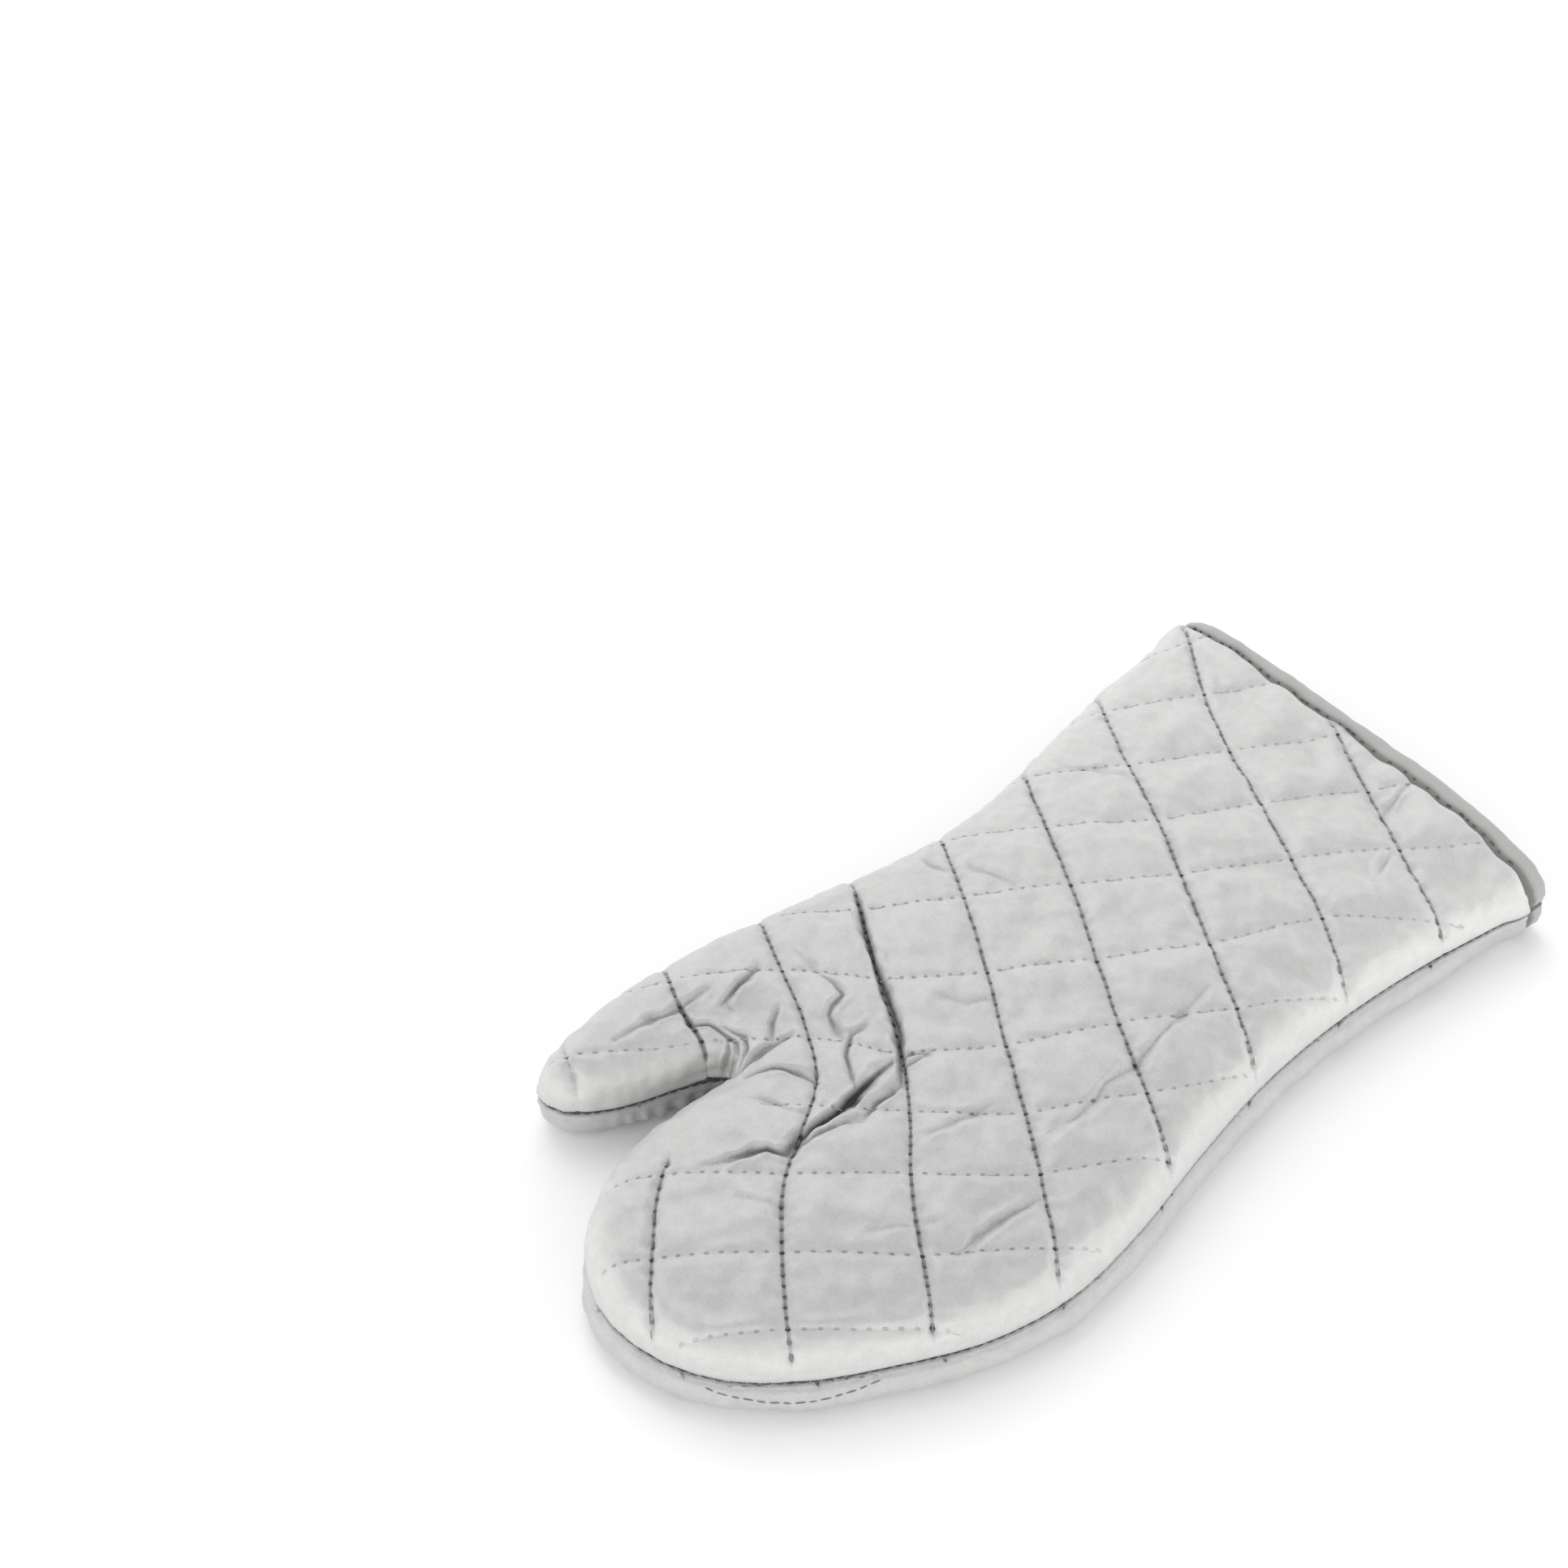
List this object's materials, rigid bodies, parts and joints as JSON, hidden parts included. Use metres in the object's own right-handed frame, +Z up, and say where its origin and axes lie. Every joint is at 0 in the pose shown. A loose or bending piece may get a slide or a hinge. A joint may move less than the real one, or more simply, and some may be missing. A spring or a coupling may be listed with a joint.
{
  "type": "quilted oven mitt",
  "caption": "Hollow padded mitt with a thumb and a rounded finger bag, quilted in diamonds, silver coated, with a side seam and a bound open cuff; it protects the hand from heat",
  "frame": {"origin": "centre of the mitt's outline in plan, on the surface that it lies on", "axes": "+Z up; +Y from the fingertips to the cuff, the longest way; the thumb on the -X side; the mitt lies on its palm"},
  "size_m": [0.1853, 0.3327, 0.0344],
  "materials": {
    "coated_cloth": "silver-coated woven cloth, quilted over wadding, satin sheen",
    "binding_cloth": "plain warm grey binding tape, matt"
  },
  "bodies": {
    "root": {"back_panel": "coated_cloth", "palm_panel": "coated_cloth", "back_cuff_binding": "binding_cloth", "palm_cuff_binding": "binding_cloth"}
  },
  "joints": []
}
